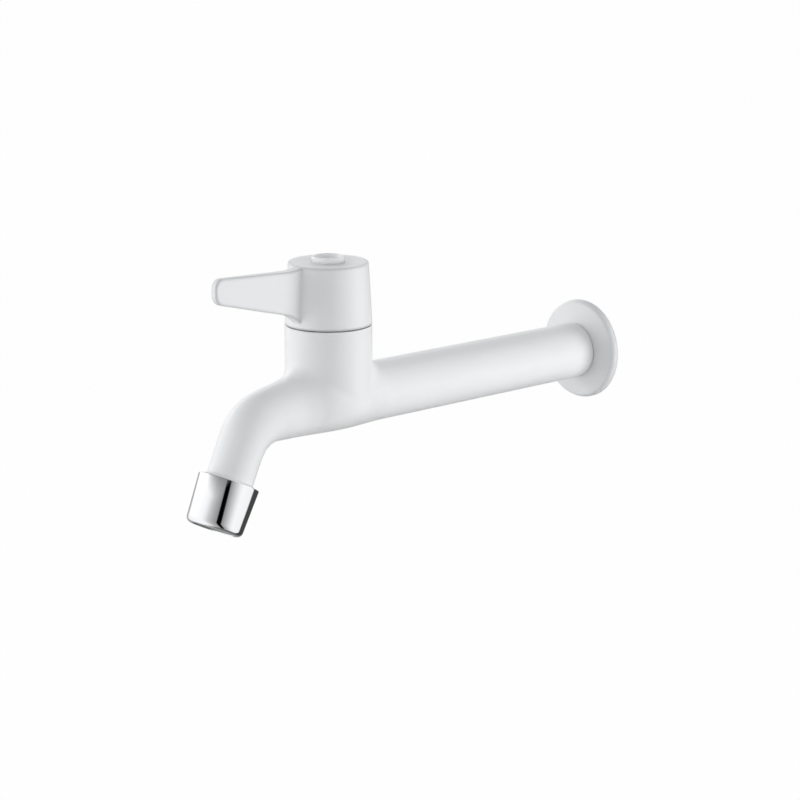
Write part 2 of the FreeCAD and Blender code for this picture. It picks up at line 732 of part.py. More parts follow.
def aerator_jet_disc():
    """Disc with two rings of small holes that split the water into jets."""
    radius = nozzle_bore_r - 2 * wall_play - cup_wall
    plate = disc(radius, cup_top, cup_top + jet_disc_height)
    holes = []
    for ring_r, count in zip(jet_ring_r, jet_ring_count):
        for k in range(count):
            angle = 2 * math.pi * k / count
            hole = disc(jet_hole_d / 2, cup_top - 1, cup_top + jet_disc_height + 1)
            hole.translate(V(ring_r * math.cos(angle), ring_r * math.sin(angle), 0))
            holes.append(hole)
    return on_spout(plate.cut(holes))


def aerator_screens():
    """Two thin screens on the cup's ledge, one turned by half a right angle."""
    radius = nozzle_bore_r - 2 * wall_play - cup_wall - jet_disc_step
    ledge = lip_top - cup_ledge
    screens = []
    for k in range(2):
        low = ledge - (k + 1) * screen_height - k * screen_gap
        screen = square_mesh(radius, low, low + screen_height)
        screen.rotate(ORIGIN, Z_AXIS, 45 * k)
        screens.append(screen)
    return on_spout(Part.makeCompound(screens))


def square_mesh(radius, low, high):
    """Round plate with square holes, where a whole hole fits inside the rim."""
    hole = screen_pitch - screen_bar
    reach = radius - 1.5 * screen_bar
    steps = int(radius / screen_pitch)
    holes = []
    for i in range(-steps, steps + 1):
        for j in range(-steps, steps + 1):
            corner = math.hypot(abs(i) * screen_pitch + hole / 2, abs(j) * screen_pitch + hole / 2)
            if corner < reach:
                holes.append(Part.makeBox(hole, hole, high - low + 1,
                                          V(i * screen_pitch - hole / 2, j * screen_pitch - hole / 2, low - 0.5)))
    return disc(radius, low, high).cut(holes)


PIECES = (tap_body, wall_flange, headwork_housing, headwork_washer, seat_seal, fixed_disc, moving_disc,
          spindle, spindle_o_rings, slip_washer, spindle_clip, handle, handle_screw, screw_cap,
          nozzle_shell, nozzle_seal, aerator_housing, aerator_jet_disc, aerator_screens)

os.makedirs("parts", exist_ok=True)
for piece in PIECES:
    shape = piece()
    box = shape.BoundBox
    print(piece.__name__, shape.isValid(), len(shape.Solids), "solids", round(shape.Volume, 1), "mm3,",
          "x %.1f %.1f y %.1f %.1f z %.1f %.1f" % (box.XMin, box.XMax, box.YMin, box.YMax, box.ZMin, box.ZMax))
    shape.exportStep(os.path.join("parts", piece.__name__ + ".step"))
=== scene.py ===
import bmesh
import bpy
import json
from math import cos, hypot, pi, radians, sin, sqrt
from mathutils import Matrix, Vector

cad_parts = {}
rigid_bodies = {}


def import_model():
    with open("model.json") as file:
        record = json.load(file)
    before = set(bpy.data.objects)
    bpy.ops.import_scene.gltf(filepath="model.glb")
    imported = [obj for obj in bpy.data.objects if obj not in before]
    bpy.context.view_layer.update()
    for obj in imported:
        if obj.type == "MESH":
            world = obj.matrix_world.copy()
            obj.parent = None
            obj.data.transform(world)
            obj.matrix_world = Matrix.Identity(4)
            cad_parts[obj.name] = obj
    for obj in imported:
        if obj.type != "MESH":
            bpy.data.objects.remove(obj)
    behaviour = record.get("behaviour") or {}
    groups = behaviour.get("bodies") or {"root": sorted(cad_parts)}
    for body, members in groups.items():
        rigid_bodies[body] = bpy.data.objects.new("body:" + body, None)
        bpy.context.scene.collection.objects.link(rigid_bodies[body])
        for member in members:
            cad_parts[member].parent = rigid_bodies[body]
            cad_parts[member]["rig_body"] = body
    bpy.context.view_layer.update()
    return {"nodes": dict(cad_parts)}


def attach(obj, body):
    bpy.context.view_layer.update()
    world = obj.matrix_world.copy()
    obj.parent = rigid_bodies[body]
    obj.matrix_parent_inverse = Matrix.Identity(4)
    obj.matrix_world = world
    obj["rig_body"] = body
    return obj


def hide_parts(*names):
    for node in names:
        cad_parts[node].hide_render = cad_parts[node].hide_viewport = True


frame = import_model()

scene = bpy.context.scene
scene.view_settings.view_transform = "Standard"
mm = 0.001

# Camera and studio.
# A long lens looks at the tap from its front right, a little from above. Soft lights stand on
# the left and right, weaker ones in front and behind, and the floor and room are plain white.
azimuth, elevation = radians(46.073), radians(12.425)
aim = Vector((-0.027047, -0.090, -0.015054))
distance = 2.0
focal_pixels = 4449.0
picture_pixels = 800.0
back = Vector((sin(azimuth) * cos(elevation), -cos(azimuth) * cos(elevation), sin(elevation)))
right = Vector((cos(azimuth), sin(azimuth), 0))
level_back = Vector((sin(azimuth), -cos(azimuth), 0))
up = back.cross(right)
camera_data = bpy.data.cameras.new("camera")
camera_data.sensor_width = 36.0
camera_data.lens = camera_data.sensor_width * focal_pixels / picture_pixels
camera = bpy.data.objects.new("camera", camera_data)
camera_turn = Matrix((right, up, back)).transposed().to_4x4()
camera.matrix_world = Matrix.Translation(aim + back * distance) @ camera_turn
scene.collection.objects.link(camera)
scene.camera = camera
barrel_middle = Vector((0, -0.14, 0))


def soft_light(name, place, size, power):
    """Rectangular lamp that faces the tap's barrel and shows in no reflection."""
    lamp = bpy.data.lights.new(name, "AREA")
    lamp.shape = "RECTANGLE"
    lamp.size, lamp.size_y = size
    lamp.energy = power
    holder = bpy.data.objects.new(name, lamp)
    holder.location = barrel_middle + place
    holder.rotation_euler = place.to_track_quat("Z", "Y").to_euler()
    holder.visible_glossy = False
    scene.collection.objects.link(holder)


soft_light("soft_right", right * 1.21 + back * 0.04 - up * 0.30, (0.6, 1.0), 13.1)
soft_light("soft_left", -right * 1.2 + back * 0.03 - up * 0.10, (0.9, 1.3), 7.8)
soft_light("soft_front", -right * 0.36 + back * 1.14 - up * 0.05, (0.5, 0.7), 1.7)
soft_light("soft_behind", Vector((-1.13, 0, 0.41)), (0.8, 0.5), 4.0)


def spread(tree, source, low, high, ends=(0.0, 1.0)):
    """Turn a value that runs between two ends into one that runs from low to high."""
    change = tree.nodes.new("ShaderNodeMapRange")
    change.inputs["From Min"].default_value = ends[0]
    change.inputs["From Max"].default_value = ends[1]
    change.inputs["To Min"].default_value = low
    change.inputs["To Max"].default_value = high
    tree.links.new(source, change.inputs[0])
    return change.outputs[0]


def blend(tree, amount, one, two):
    """Mix two colours by an amount from 0 to 1; each is fixed or comes from another node."""
    mixed = tree.nodes.new("ShaderNodeMix")
    mixed.data_type = "RGBA"
    tree.links.new(amount, mixed.inputs[0])
    for socket, colour in ((mixed.inputs[6], one), (mixed.inputs[7], two)):
        if isinstance(colour, bpy.types.NodeSocket):
            tree.links.new(colour, socket)
        else:
            socket.default_value = (*colour, 1)
    return mixed.outputs[2]


def shown_to(tree, rays, others, chosen):
    """Show one shader to the chosen kind of rays, and another to all others."""
    both = tree.nodes.new("ShaderNodeMixShader")
    tree.links.new(rays, both.inputs[0])
    tree.links.new(others, both.inputs[1])
    tree.links.new(chosen, both.inputs[2])
    return both.outputs[0]


# What gloss and polish reflect: white walls that darken towards the camera, with a black slit
# beside the camera. Low down a black flag stands behind the tap on the right, and the ceiling
# is grey. Each stop is degrees from the camera towards the right, and the grey seen there.
front_greys = [(-62, 1.0), (-48, 0.88), (-31, 0.61), (-14, 0.43), (2.5, 0.29), (5, 0.0), (20.5, 0.0)]
front_greys += [(23, 0.30), (31, 0.41), (44, 0.63), (58, 0.89), (68, 1.0)]
high_greys = [(-180, 1.3)] + front_greys + [(180, 1.3)]
low_greys = [(-180, 0.30), (-150, 0.42), (-132, 0.98)] + front_greys
low_greys += [(112, 0.95), (118, 0.06), (158, 0.06), (180, 0.30)]
ceiling_grey = (0.20, 0.20, 0.20)
ground_grey = (0.16, 0.16, 0.16)

# Between these heights one part of the room changes into the next. A height is that of the
# ray's direction, from -1 straight down to 1 straight up. The room's light fades upwards.
low_to_high = (-0.02, 0.12)
high_to_ceiling = (0.55, 0.76)
ground_to_low = (-0.95, -0.84)
light_fades = (-0.4, 1.0)
light_low, light_high = 0.78, 0.49
world = bpy.data.worlds.new("studio")
scene.world = world
world.use_nodes = True
room = world.node_tree
room.nodes.clear()
direction = room.nodes.new("ShaderNodeTexCoord").outputs["Generated"]
turn = room.nodes.new("ShaderNodeMath")
turn.operation = "ARCTAN2"
for socket, axis in zip(turn.inputs, (right, level_back)):
    side = room.nodes.new("ShaderNodeVectorMath")
    side.operation = "DOT_PRODUCT"
    side.inputs[1].default_value = axis
    room.links.new(direction, side.inputs[0])
    room.links.new(side.outputs["Value"], socket)
round_room = spread(room, turn.outputs[0], 0.0, 1.0, (-pi, pi))
rings = []
for stops in (low_greys, high_greys):
    greys = room.nodes.new("ShaderNodeValToRGB")
    for place, (angle, grey) in enumerate(stops):
        ramp = greys.color_ramp.elements
        stop = ramp[place] if place < 2 else ramp.new(1)
        stop.position = angle / 360 + 0.5
        stop.color = (grey, grey, grey * 1.01, 1)
    room.links.new(round_room, greys.inputs[0])
    rings.append(greys.outputs[0])
split_direction = room.nodes.new("ShaderNodeSeparateXYZ")
room.links.new(direction, split_direction.inputs[0])
height = split_direction.outputs["Z"]
room_light = room.nodes.new("ShaderNodeBackground")
room_light.inputs["Color"].default_value = (0.98, 0.99, 1.0, 1)
room.links.new(spread(room, height, light_low, light_high, light_fades), room_light.inputs["Strength"])
walls = blend(room, spread(room, height, 0.0, 1.0, low_to_high), *rings)
walls = blend(room, spread(room, height, 0.0, 1.0, high_to_ceiling), walls, ceiling_grey)
walls = blend(room, spread(room, height, 0.0, 1.0, ground_to_low), ground_grey, walls)
grey_room = room.nodes.new("ShaderNodeBackground")
room.links.new(walls, grey_room.inputs["Color"])
white_room = room.nodes.new("ShaderNodeBackground")
white_room.inputs["Color"].default_value = (1, 1, 1, 1)
rays = room.nodes.new("ShaderNodeLightPath")
look = shown_to(room, rays.outputs["Is Glossy Ray"], room_light.outputs[0], grey_room.outputs[0])
look = shown_to(room, rays.outputs["Is Camera Ray"], look, white_room.outputs[0])
world_out = room.nodes.new("ShaderNodeOutputWorld")
room.links.new(look, world_out.inputs[0])


def new_material(name):
    """New material; gives it with its shader and its node tree."""
    made = bpy.data.materials.new(name)
    made.use_nodes = True
    return made, made.node_tree.nodes["Principled BSDF"], made.node_tree


# To the camera the floor glows almost pure white, and to all other rays it is grey paint.
floor_size = 60
floor_height = -0.42
floor_grey = 0.62
floor_glow = 0.985
bpy.ops.object.select_all(action="DESELECT")
bpy.ops.mesh.primitive_plane_add(size=floor_size, location=(0, 0, floor_height))
floor = bpy.context.object
floor.name = "floor"
floor_paint, shader, tree = new_material("floor_white")
shader.inputs["Base Color"].default_value = (floor_grey, floor_grey, floor_grey, 1)
shader.inputs["Roughness"].default_value = 0.9
shader.inputs["Specular IOR Level"].default_value = 0.0
glow = tree.nodes.new("ShaderNodeEmission")
floor_rays = tree.nodes.new("ShaderNodeLightPath")
glow_share = tree.nodes.new("ShaderNodeMath")
glow_share.operation = "MULTIPLY"
glow_share.inputs[1].default_value = floor_glow
tree.links.new(floor_rays.outputs["Is Camera Ray"], glow_share.inputs[0])
floor_look = shown_to(tree, glow_share.outputs[0], shader.outputs[0], glow.outputs[0])
tree.links.new(floor_look, tree.nodes["Material Output"].inputs[0])
floor.data.materials.append(floor_paint)
floor.visible_glossy = False


# White body.
# One long moulding of glossy white plastic: tube, barrel, neck and spout in one.
# The mould leaves the skin very slightly wavy, and handling has dulled it in places.
def place_on_piece(tree, shift=(0, 0, 0), stretch=(1, 1, 1)):
    """Place on a piece in its own axes, shifted and stretched."""
    place = tree.nodes.new("ShaderNodeTexCoord")
    mapped = tree.nodes.new("ShaderNodeMapping")
    mapped.inputs["Location"].default_value = shift
    mapped.inputs["Scale"].default_value = stretch
    tree.links.new(place.outputs["Object"], mapped.inputs["Vector"])
    return mapped.outputs[0]


def clouds(tree, place, scale, detail, roughness=0.5):
    """Cloudy noise at a place on a piece, from 0 to 1."""
    noise = tree.nodes.new("ShaderNodeTexNoise")
    noise.inputs["Scale"].default_value = scale
    noise.inputs["Detail"].default_value = detail
    noise.inputs["Roughness"].default_value = roughness
    tree.links.new(place, noise.inputs["Vector"])
    return noise.outputs[0]


def raise_skin(tree, shader, height, strength, distance):
    """Let the skin rise and fall with a noise, by no more than a distance."""
    bump = tree.nodes.new("ShaderNodeBump")
    bump.inputs["Strength"].default_value = strength
    bump.inputs["Distance"].default_value = distance
    tree.links.new(height, bump.inputs["Height"])
    tree.links.new(bump.outputs[0], shader.inputs["Normal"])


def moulded_white(name, colour, gloss_scale=45.0, painted_edge_shade=0.0):
    """Glossy white plastic with a faint wave from the mould, uneven gloss, and painted shade that darkens
    its edges.
    """
    made, shader, tree = new_material(name)
    shader.inputs["Specular IOR Level"].default_value = 0.4
    place = place_on_piece(tree)
    cloud = clouds(tree, place, gloss_scale, 3.0)
    tree.links.new(spread(tree, cloud, 0.29, 0.38), shader.inputs["Roughness"])
    yellowed = (colour[0] * 0.985, colour[1] * 0.985, colour[2] * 0.975)
    tint = blend(tree, cloud, colour, yellowed)
    # Close to an edge the far skin is near on the inside, and there the white is darkened as painted shade
    # along the edges.
    inward = tree.nodes.new("ShaderNodeAmbientOcclusion")
    inward.inside = True
    inward.only_local = True
    inward.samples = 8
    inward.inputs["Distance"].default_value = 1.2 * mm
    edge = spread(tree, inward.outputs["AO"], 0.0, painted_edge_shade, (1.0, 0.7))
    tree.links.new(blend(tree, edge, tint, (0, 0, 0)), shader.inputs["Base Color"])
    raise_skin(tree, shader, clouds(tree, place, 260.0, 2.0), 0.06, 0.3 * mm)
    return made


def on_bench(piece):
    """Make one piece the only one selected."""
    bpy.ops.object.select_all(action="DESELECT")
    piece.select_set(True)
    bpy.context.view_layer.objects.active = piece


def merged_copy(node, name):
    """Closed copy of a CAD node's mesh, in its place, that stands for the node."""
    source = frame["nodes"][node]
    piece = source.copy()
    piece.data = source.data.copy()
    piece.name = piece.data.name = name
    piece.parent = None
    for key in list(piece.keys()):
        del piece[key]
    scene.collection.objects.link(piece)
    form = bmesh.new()
    form.from_mesh(piece.data)
    bmesh.ops.remove_doubles(form, verts=form.verts, dist=0.002 * mm)
    form.to_mesh(piece.data)
    form.free()
    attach(piece, source["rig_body"])
    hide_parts(node)
    return piece


def smooth(piece, crease=28):
    """Smooth shading up to a crease angle, led by the large faces."""
    on_bench(piece)
    bpy.ops.object.shade_smooth_by_angle(angle=radians(crease))
    led = piece.modifiers.new("led_by_large_faces", "WEIGHTED_NORMAL")
    led.keep_sharp = True
    bpy.ops.object.modifier_apply(modifier=led.name)


def give(piece, material):
    """Put one material on a whole piece, in place of those it had."""
    piece.data.materials.clear()
    piece.data.materials.append(material)


white_body = moulded_white("white_body", (0.84, 0.846, 0.856))
body = merged_copy("tap_body", "moulded_body")
give(body, white_body)


# Inlet thread.
# The shank behind the cover disc has a half-inch pipe thread of 14 turns to the inch.
# The body's shank goes down to the thread's root, and one moulded ridge winds round it.
thread_pitch = 25.4 * mm / 14
thread_depth = 1.16 * mm
thread_turns = 5
crest_radius = 10.46 * mm
root_radius = crest_radius - thread_depth
ridge_foot = root_radius - 0.12 * mm
foot_width = 0.88 * thread_pitch
crest_share = 0.2
shank_start = -0.1 * mm
shank_end = 11.0 * mm
chamfer_foot = shank_end - 0.1 * mm
for corner in body.data.vertices:
    reach = hypot(corner.co.x, corner.co.z)
    if corner.co.y > shank_start and reach > root_radius:
        corner.co.x *= root_radius / reach
        corner.co.z *= root_radius / reach
smooth(body)


def pick(piece, kind, wanted):
    """In edit mode, select the faces, edges or points whose corners all lie where wanted."""
    bpy.ops.mesh.select_mode(type=kind)
    bpy.ops.mesh.select_all(action="DESELECT")
    form = bmesh.from_edit_mesh(piece.data)
    for part in {"VERT": form.verts, "EDGE": form.edges, "FACE": form.faces}[kind]:
        corners = [part] if kind == "VERT" else part.verts
        if all(wanted(corner.co) for corner in corners):
            part.select_set(True)
    bmesh.update_edit_mesh(piece.data)


steps_per_turn = 60
corners_per_step = 4
bpy.ops.object.select_all(action="DESELECT")
bpy.ops.mesh.primitive_plane_add(size=1)
ridge = bpy.context.object
ridge.name = ridge.data.name = "inlet_thread_ridge"
bpy.ops.object.mode_set(mode="EDIT")
bpy.ops.transform.resize(value=(crest_radius - ridge_foot, foot_width, 1))
bpy.ops.transform.rotate(value=pi / 2, orient_axis="X", center_override=(0, 0, 0))
bpy.ops.transform.translate(value=((crest_radius + ridge_foot) / 2, 0, 0))
pick(ridge, "VERT", lambda place: place.x > root_radius)
bpy.ops.transform.resize(value=(1, 1, crest_share), center_override=(crest_radius, 0, 0))
pick(ridge, "FACE", lambda place: True)
bpy.ops.mesh.delete(type="ONLY_FACE")
bpy.ops.object.mode_set(mode="OBJECT")
winding = ridge.modifiers.new("winding", "SCREW")
winding.axis = "Z"
winding.screw_offset = thread_pitch
winding.iterations = thread_turns
winding.steps = winding.render_steps = steps_per_turn
bpy.ops.object.modifier_apply(modifier=winding.name)
bpy.ops.object.mode_set(mode="EDIT")
bpy.ops.mesh.select_all(action="SELECT")
bpy.ops.mesh.remove_doubles(threshold=0.001 * mm)
bpy.ops.mesh.fill_holes(sides=6)
bpy.ops.transform.rotate(value=pi / 2, orient_axis="X", center_override=(0, 0, 0))
bpy.ops.object.mode_set(mode="OBJECT")

# The ridge fades in and out over a third of a turn, and the shank's end has a chamfer.
last_step = thread_turns * steps_per_turn
fade_steps = steps_per_turn / 3
least_height = 0.04
ridge_shift = (shank_end - thread_turns * thread_pitch) / 2 - 0.05 * mm
for corner in ridge.data.vertices:
    corner.co.y += ridge_shift
    reach = hypot(corner.co.x, corner.co.z)
    step = corner.index // corners_per_step
    grown = max(least_height, min(1, step / fade_steps, (last_step - step) / fade_steps))
    crest = ridge_foot + (crest_radius - ridge_foot) * grown
    most = min(crest, root_radius + chamfer_foot - corner.co.y)
    if reach > most:
        corner.co.x *= most / reach
        corner.co.z *= most / reach
bpy.ops.object.mode_set(mode="EDIT")
bpy.ops.mesh.select_all(action="SELECT")
bpy.ops.mesh.normals_make_consistent(inside=False)
bpy.ops.object.mode_set(mode="OBJECT")
smooth(ridge, 25)
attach(ridge, "tap")
give(ridge, white_body)


# Cover disc.
# A loose disc of the same white plastic slides on the shank and hides the hole in the wall.
# It is moulded with a soft rim, and is hollow behind.
# The disc's white is painted darker than the body's, as painted shade, and its edges are darkened with
# painted shade too.
white_disc = moulded_white("white_disc", (0.76, 0.766, 0.78), 60.0, 0.2)
cover = merged_copy("wall_flange", "cover_disc")
smooth(cover)
give(cover, white_disc)


# Headwork housing and spindle.
# The housing that screws into the barrel and the spindle in it are turned from brass bar.
# The tool leaves fine rings round the axis, and the metal has dulled a little in the air.
headwork_axis = (0, -0.159, 0)


def turned_metal(name, colour, dulled, middle, roughness):
    """Metal with a lathe tool's rings round an upright axis through the middle."""
    made, shader, tree = new_material(name)
    shader.inputs["Metallic"].default_value = 1.0
    centred = place_on_piece(tree, shift=[-part for part in middle])
    flat = tree.nodes.new("ShaderNodeVectorMath")
    flat.operation = "MULTIPLY"
    flat.inputs[1].default_value = (1, 1, 0)
    reach = tree.nodes.new("ShaderNodeVectorMath")
    reach.operation = "LENGTH"
    split = tree.nodes.new("ShaderNodeSeparateXYZ")
    lathe = tree.nodes.new("ShaderNodeCombineXYZ")
    tree.links.new(centred, flat.inputs[0])
    tree.links.new(flat.outputs[0], reach.inputs[0])
    tree.links.new(centred, split.inputs[0])
    tree.links.new(reach.outputs["Value"], lathe.inputs["X"])
    tree.links.new(split.outputs["Z"], lathe.inputs["Z"])
    cloud = clouds(tree, centred, 180.0, 4.0)
    tree.links.new(blend(tree, cloud, colour, dulled), shader.inputs["Base Color"])
    tree.links.new(spread(tree, cloud, roughness - 0.06, roughness + 0.12), shader.inputs["Roughness"])
    raise_skin(tree, shader, clouds(tree, lathe.outputs[0], 2600.0, 1.0), 0.25, 0.1 * mm)
    return made


brass = turned_metal("brass", (0.74, 0.56, 0.27), (0.56, 0.40, 0.18), headwork_axis, 0.28)
give(frame["nodes"]["headwork_housing"], brass)
spindle_brass = turned_metal("spindle_brass", (0.80, 0.63, 0.34), (0.66, 0.50, 0.25), headwork_axis, 0.24)
give(frame["nodes"]["spindle"], spindle_brass)


# Washer and seals of the headwork.
# A red fibre washer seals the housing on the barrel, and a rubber ring seals the discs below.
# Fibre is pressed from flakes, and the rubber is matt from its mould, with a film of grease.
def specked(name, colour, speck, scale, roughness, depth, stretch=(1, 1, 1)):
    """Dull material with clouds and specks of a second colour and a fine uneven skin."""
    made, shader, tree = new_material(name)
    shader.inputs["Specular IOR Level"].default_value = 0.4
    grain = clouds(tree, place_on_piece(tree, stretch=stretch), scale, 5.0, 0.65)
    specks = spread(tree, grain, 0.0, 1.0, (0.35, 0.68))
    tree.links.new(blend(tree, specks, colour, speck), shader.inputs["Base Color"])
    tree.links.new(spread(tree, grain, roughness - 0.08, roughness + 0.10), shader.inputs["Roughness"])
    raise_skin(tree, shader, grain, 0.3, depth)
    return made


fibre = specked("fibre_washer", (0.42, 0.13, 0.09), (0.28, 0.07, 0.05), 900.0, 0.62, 0.12 * mm, (1, 1, 3))
give(frame["nodes"]["headwork_washer"], fibre)
seat_rubber = specked("seat_rubber", (0.032, 0.032, 0.035), (0.055, 0.054, 0.052), 700.0, 0.50, 0.05 * mm)
give(frame["nodes"]["seat_seal"], seat_rubber)
ring_rubber = specked("ring_rubber", (0.028, 0.028, 0.030), (0.045, 0.045, 0.044), 1100.0, 0.32, 0.03 * mm)
give(frame["nodes"]["spindle_o_rings"], ring_rubber)


# Ceramic discs.
# The still disc is ivory alumina and the turning one grey, both fired and lapped flat.
# The fired grain just shows.
ivory_ceramic = specked("ceramic_white", (0.86, 0.85, 0.81), (0.82, 0.80, 0.75), 1500.0, 0.30, 0.02 * mm)
give(frame["nodes"]["fixed_disc"], ivory_ceramic)
grey_ceramic = specked("ceramic_grey", (0.52, 0.53, 0.55), (0.44, 0.45, 0.48), 1500.0, 0.28, 0.02 * mm)
give(frame["nodes"]["moving_disc"], grey_ceramic)


# Slip washer, clip and screw.
# A pale nylon washer and a sprung steel clip hold the spindle, and a plated screw the handle.
# The clip is blanked from strip with its grain along it, and the screw is rolled and plated.
nylon = specked("slip_plastic", (0.83, 0.82, 0.76), (0.80, 0.78, 0.71), 400.0, 0.42, 0.03 * mm)
give(frame["nodes"]["slip_washer"], nylon)


def worked_steel(name, colour, dulled, roughness, stretch, scale):
    """Steel with fine scratches along the way that it was drawn or brushed."""
    made, shader, tree = new_material(name)
    shader.inputs["Metallic"].default_value = 1.0
    scratches = clouds(tree, place_on_piece(tree, stretch=stretch), scale, 4.0)
    tree.links.new(blend(tree, scratches, colour, dulled), shader.inputs["Base Color"])
    tree.links.new(spread(tree, scratches, roughness - 0.08, roughness + 0.14), shader.inputs["Roughness"])
    raise_skin(tree, shader, scratches, 0.2, 0.05 * mm)
    return made


spring = worked_steel("spring_steel", (0.42, 0.43, 0.45), (0.30, 0.31, 0.34), 0.34, (1, 8, 1), 500.0)
give(frame["nodes"]["spindle_clip"], spring)
plated = worked_steel("screw_steel", (0.66, 0.67, 0.68), (0.56, 0.57, 0.60), 0.30, (1, 1, 6), 600.0)
give(frame["nodes"]["handle_screw"], plated)


# Handle and its cap.
# Hub and lever are one moulding, and a dished cap is pushed in over the screw.
# The lever is flat on both sides, with soft edges where the hand takes it.
# The handle's edges get the strongest painted shade of all the white parts.
white_handle = moulded_white("white_handle", (0.83, 0.836, 0.848), 55.0, 0.36)
lever = merged_copy("handle", "lever_handle")


def pick_edges(piece, wanted):
    """In edit mode, select the edges that are wanted for their two end points."""
    bpy.ops.mesh.select_mode(type="EDGE")
    bpy.ops.mesh.select_all(action="DESELECT")
    form = bmesh.from_edit_mesh(piece.data)
    for edge in form.edges:
        edge.select_set(wanted(*edge.verts))
    bmesh.update_edit_mesh(piece.data)


# The lever's lower and upper edges sweep out into the hub, more below than above. Each sweep is
# a bar, given by the lever's height at the hub and at its tip, and by how far it rises. It starts
# as a cube, is cut across along the lever, has its corners set in place, and joins the handle.
lever_start, lever_end = 15.1 * mm, 66.2 * mm
lever_half_start, lever_half_end = 2.9 * mm, 1.76 * mm
hub_face = 18.3 * mm
sweep_start = 17.0 * mm
sweep_run = 9.0 * mm
sweep_cuts = 14
sweep_depth = 3 * mm
sweep_edge = 0.8 * mm
top_gap = 0.05 * mm
side_gap = 0.015 * mm
lower_sweep = (38.2 * mm, 51.0 * mm, -3.0 * mm)
upper_sweep = (59.4 * mm, 61.9 * mm, 1.1 * mm)
for near, far, rise in (lower_sweep, upper_sweep):
    bpy.ops.object.select_all(action="DESELECT")
    bpy.ops.mesh.primitive_cube_add(size=1)
    sweep = bpy.context.object
    way = 1 if rise > 0 else -1
    bpy.ops.object.mode_set(mode="EDIT")
    pick_edges(sweep, lambda one, two: abs(one.co.y - two.co.y) > 0.5)
    bpy.ops.mesh.subdivide(number_cuts=sweep_cuts)
    bpy.ops.object.mode_set(mode="OBJECT")
    swept = {corner.index for corner in sweep.data.vertices if corner.co.z * way > 0}
    for corner in sweep.data.vertices:
        out = sweep_start + (0.5 - corner.co.y) * (hub_face + sweep_run - sweep_start)
        along = (out - lever_start) / (lever_end - lever_start)
        left = 1 - max(0, out - hub_face) / sweep_run
        level = near + (far - near) * along
        if corner.index in swept:
            level += rise * left ** 2 - way * top_gap
        else:
            level -= way * sweep_depth
        half = lever_half_start + (lever_half_end - lever_half_start) * along - side_gap
        corner.co = (half if corner.co.x > 0 else -half, headwork_axis[1] - out, level)
    bpy.ops.object.mode_set(mode="EDIT")
    pick_edges(sweep, lambda one, two: {one.index, two.index} <= swept and one.co.x * two.co.x > 0)
    bpy.ops.mesh.bevel(offset=sweep_edge, segments=4, affect="EDGES")
    bpy.ops.mesh.select_all(action="SELECT")
    bpy.ops.mesh.normals_make_consistent(inside=False)
    bpy.ops.object.mode_set(mode="OBJECT")
    on_bench(lever)
    joined = lever.modifiers.new("joined", "BOOLEAN")
    joined.operation = "UNION"
    joined.solver = "EXACT"
    joined.object = sweep
    bpy.ops.object.modifier_apply(modifier=joined.name)
    bpy.data.objects.remove(sweep)
smooth(lever)
give(lever, white_handle)
# The cap's white is painted lighter than the handle's: painted light that stands in for the light its
# dished top misses.
white_cap = moulded_white("white_cap", (0.92, 0.925, 0.935), 80.0)
cap = merged_copy("screw_cap", "hub_cap")
smooth(cap)
give(cap, white_cap)


# Nozzle.
# A sleeve nut of plated brass screws over the spout's end and carries the jet regulator. It is
# turned, with a faint taper and a round nose, then polished and chromed, but dull in its mouth.
spout_fall = radians(64.5)
spout_way = Vector((0, -cos(spout_fall), -sin(spout_fall)))
nozzle_top = Vector((0, -0.2173, -0.027))
sleeve_sides = 128
sleeve_radius = 13.5 * mm
sleeve_length = 21.5 * mm
sleeve_taper = 0.924
nose_round = 2.4 * mm
nose_radius = sleeve_radius * sleeve_taper - nose_round
mouth_radius = 9.4 * mm
mouth_chamfer = 0.4 * mm
lip_height = 2.5 * mm
inside_radius = 11.05 * mm
rim_round = 0.35 * mm
rim_radius = 12.8 * mm
rim_depth = 0.9 * mm
inside_length = sleeve_length - lip_height - rim_depth
hair = 0.01 * mm


def along_spout(piece):
    """Turn a piece made upright, its top at the origin, to hang from the spout's end."""
    piece.matrix_world = Matrix.Translation(nozzle_top) @ Matrix.Rotation(spout_fall - pi / 2, 4, "X")
    on_bench(piece)
    bpy.ops.object.transform_apply(location=True, rotation=True, scale=True)


def extrude_up(distance):
    """In edit mode, extrude the selected faces up the sleeve, or down it."""
    bpy.ops.mesh.extrude_region_move(TRANSFORM_OT_translate={"value": (0, 0, distance)})


def in_fixed_order(piece):
    """Put a piece's faces in the order of their corners, because extrude leaves them in any."""
    form = bmesh.new()
    form.from_mesh(piece.data)
    base = len(form.verts)

    def rank(face):
        one, two, three = sorted(corner.index for corner in face.verts)[:3]
        return (one * base + two) * base + three

    form.faces.sort(key=rank)
    form.to_mesh(piece.data)
    form.free()


bpy.ops.object.select_all(action="DESELECT")
bpy.ops.mesh.primitive_cylinder_add(
    vertices=sleeve_sides, radius=sleeve_radius, depth=sleeve_length, location=(0, 0, -sleeve_length / 2))
sleeve = bpy.context.object
sleeve.name = sleeve.data.name = "nozzle_sleeve"
bpy.ops.object.transform_apply(location=True, rotation=True, scale=True)
bpy.ops.object.mode_set(mode="EDIT")

# The outside gets its taper, its round nose and a soft edge on top.
pick(sleeve, "FACE", lambda place: place.z < -sleeve_length / 2)
bpy.ops.transform.resize(value=(sleeve_taper, sleeve_taper, 1), center_override=(0, 0, -sleeve_length))
bpy.ops.mesh.bevel(offset=nose_round, segments=8, affect="EDGES")
pick(sleeve, "FACE", lambda place: place.z > -hair)
bpy.ops.mesh.bevel(offset=rim_round, segments=2, affect="EDGES")

# The top is open, with a step down inside its rim.
pick(sleeve, "FACE", lambda place: place.z > -hair)
bpy.ops.mesh.inset(thickness=sleeve_radius - rim_round - rim_radius)
extrude_up(-rim_depth)
bpy.ops.mesh.delete(type="ONLY_FACE")

